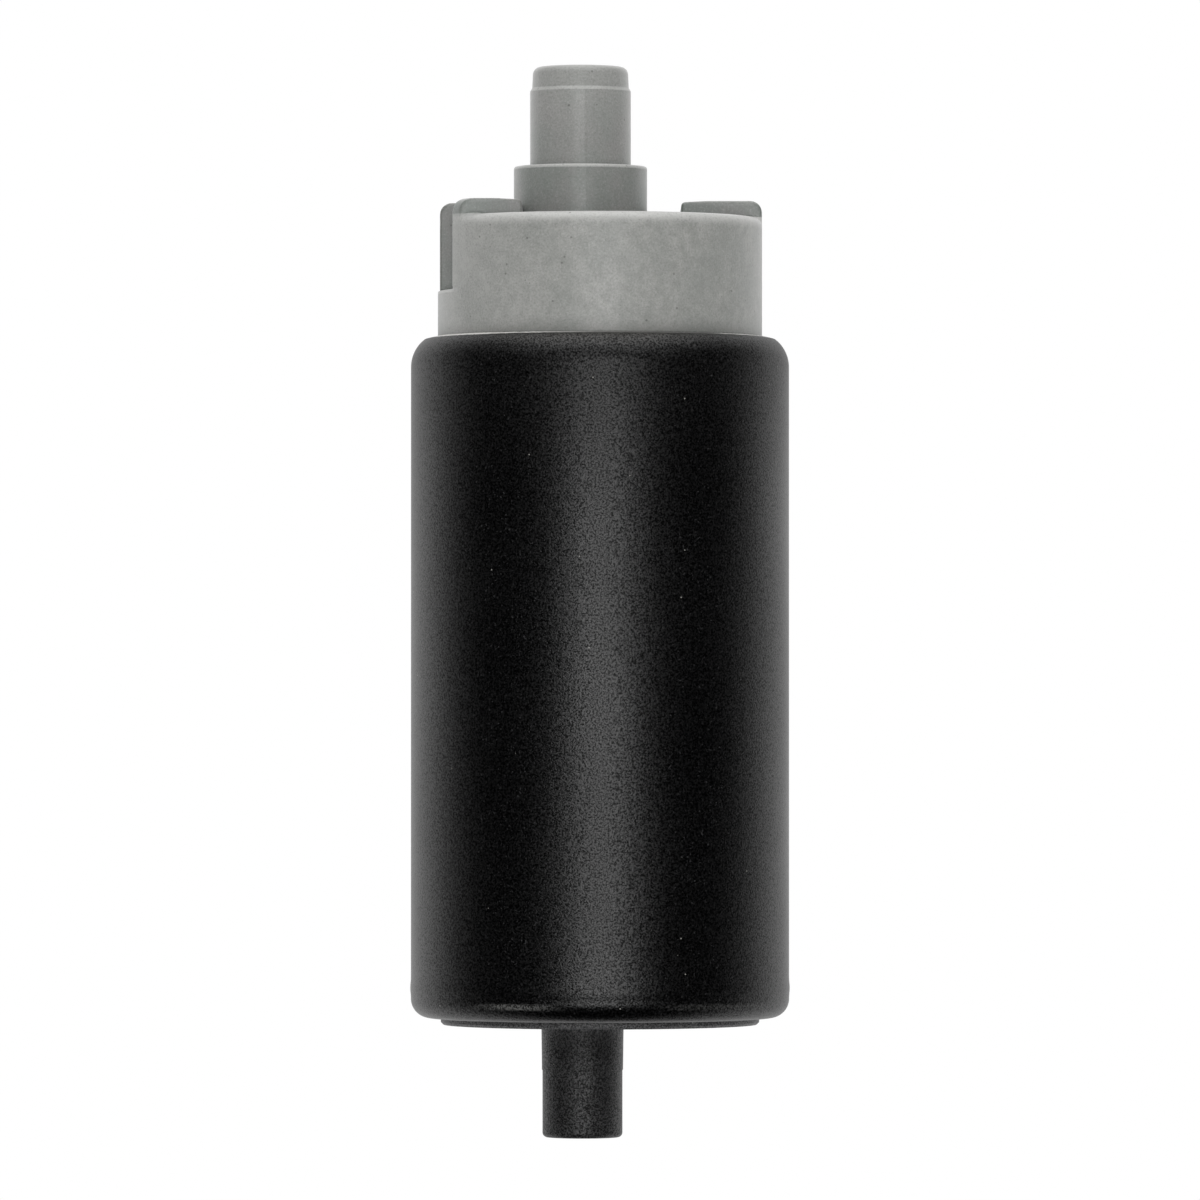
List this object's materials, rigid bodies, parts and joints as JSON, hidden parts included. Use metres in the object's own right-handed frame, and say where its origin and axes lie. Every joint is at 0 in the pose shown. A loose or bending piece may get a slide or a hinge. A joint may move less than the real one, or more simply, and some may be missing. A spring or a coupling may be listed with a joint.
{
  "type": "fuel pump",
  "caption": "Electric in-tank fuel pump: black rolled steel shell, grey moulded end cap with outlet nipple and terminal pockets, black inlet cover with stub, motor and pump stage inside.",
  "frame": {"origin": "on the shell's axis, at half the shell's length", "axes": "+Z along the shell's axis towards the outlet nipple, -Y towards the viewer of the pictured front, +X to that viewer's right"},
  "size_m": [0.038, 0.038, 0.1083],
  "materials": {
    "shell_coating": "fine-grained satin black coating",
    "grey_moulding": "dull, slightly chalky",
    "black_cover": "fine-grained matt black coating",
    "seal_rubber": "matt",
    "pump_aluminium": "turned die casting",
    "impeller_moulding": "fine moulded",
    "sintered_bronze": "sintered, oiled",
    "plated_steel": "zinc plated",
    "ferrite": "sintered ceramic, dull",
    "spring_steel": "drawn",
    "hard_steel": "ground",
    "lamination_iron": "stamped, fine lines",
    "slot_fibre": "fibre sheet",
    "enamelled_copper": "varnished wire",
    "bare_copper": "drawn wire",
    "brown_moulding": "phenolic moulding",
    "segment_carbon": "lapped carbon",
    "washer_moulding": "moulded",
    "black_moulding": "glass-filled moulding",
    "brush_carbon": "pressed graphite",
    "tinned_brass": "tinned",
    "valve_moulding": "natural moulding"
  },
  "bodies": {
    "pump_body": {"shell": "shell_coating", "end_cap": "grey_moulding", "inlet_cover": "black_cover", "cap_seal": "seal_rubber", "inlet_seal": "seal_rubber", "thrust_button": "hard_steel", "channel_ring": "pump_aluminium", "pump_housing": "pump_aluminium", "lower_bearing": "sintered_bronze", "upper_bearing": "sintered_bronze", "flux_ring": "plated_steel", "magnet_front": "ferrite", "magnet_rear": "ferrite", "magnet_clips": "spring_steel", "brush_holder": "black_moulding", "brush_spring_left": "spring_steel", "brush_spring_right": "spring_steel", "brush_lead_left": "bare_copper", "brush_lead_right": "bare_copper", "choke_core_left": "ferrite", "choke_core_right": "ferrite", "choke_coil_left": "enamelled_copper", "choke_coil_right": "enamelled_copper", "terminal_left": "tinned_brass", "terminal_right": "tinned_brass", "terminal_lead_left": "bare_copper", "terminal_lead_right": "bare_copper", "check_valve_guide": "valve_moulding", "check_valve_spring": "spring_steel", "relief_spring": "spring_steel", "relief_retainer": "sintered_bronze"},
    "armature": {"shaft": "hard_steel", "lamination_stack": "lamination_iron", "slot_insulators": "slot_fibre", "windings": "enamelled_copper", "commutator_hub": "brown_moulding", "commutator_segments": "segment_carbon", "thrust_washers": "washer_moulding", "impeller": "impeller_moulding"},
    "brush_left": {"brush_left": "brush_carbon"},
    "brush_right": {"brush_right": "brush_carbon"},
    "outlet_check_valve": {"check_valve_poppet": "valve_moulding", "check_valve_washer": "seal_rubber"},
    "relief_valve_ball": {"relief_ball": "hard_steel"}
  },
  "joints": [
    {"name": "armature_spin", "type": "hinge", "parent": "pump_body", "child": "armature", "pos_m": [0, 0, 0], "axis": [0, 0, 1], "continuous": true},
    {"name": "brush_left_slide", "type": "slide", "parent": "pump_body", "child": "brush_left", "axis": [0, 0, 1], "range_m": [0, 0.0015], "stiffness_N_per_m": 150, "springref_m": -0.004, "deforming": ["brush_spring_left", "brush_lead_left"]},
    {"name": "brush_right_slide", "type": "slide", "parent": "pump_body", "child": "brush_right", "axis": [0, 0, 1], "range_m": [0, 0.0015], "stiffness_N_per_m": 150, "springref_m": -0.004, "deforming": ["brush_spring_right", "brush_lead_right"]},
    {"name": "outlet_check_valve_lift", "type": "slide", "parent": "pump_body", "child": "outlet_check_valve", "axis": [0, 0, 1], "range_m": [0, 0.002], "stiffness_N_per_m": 60, "springref_m": -0.003, "deforming": ["check_valve_spring"]},
    {"name": "relief_valve_lift", "type": "slide", "parent": "pump_body", "child": "relief_valve_ball", "axis": [0, 0, 1], "range_m": [0, 0.0008], "stiffness_N_per_m": 600, "springref_m": -0.003, "deforming": ["relief_spring"]}
  ]
}
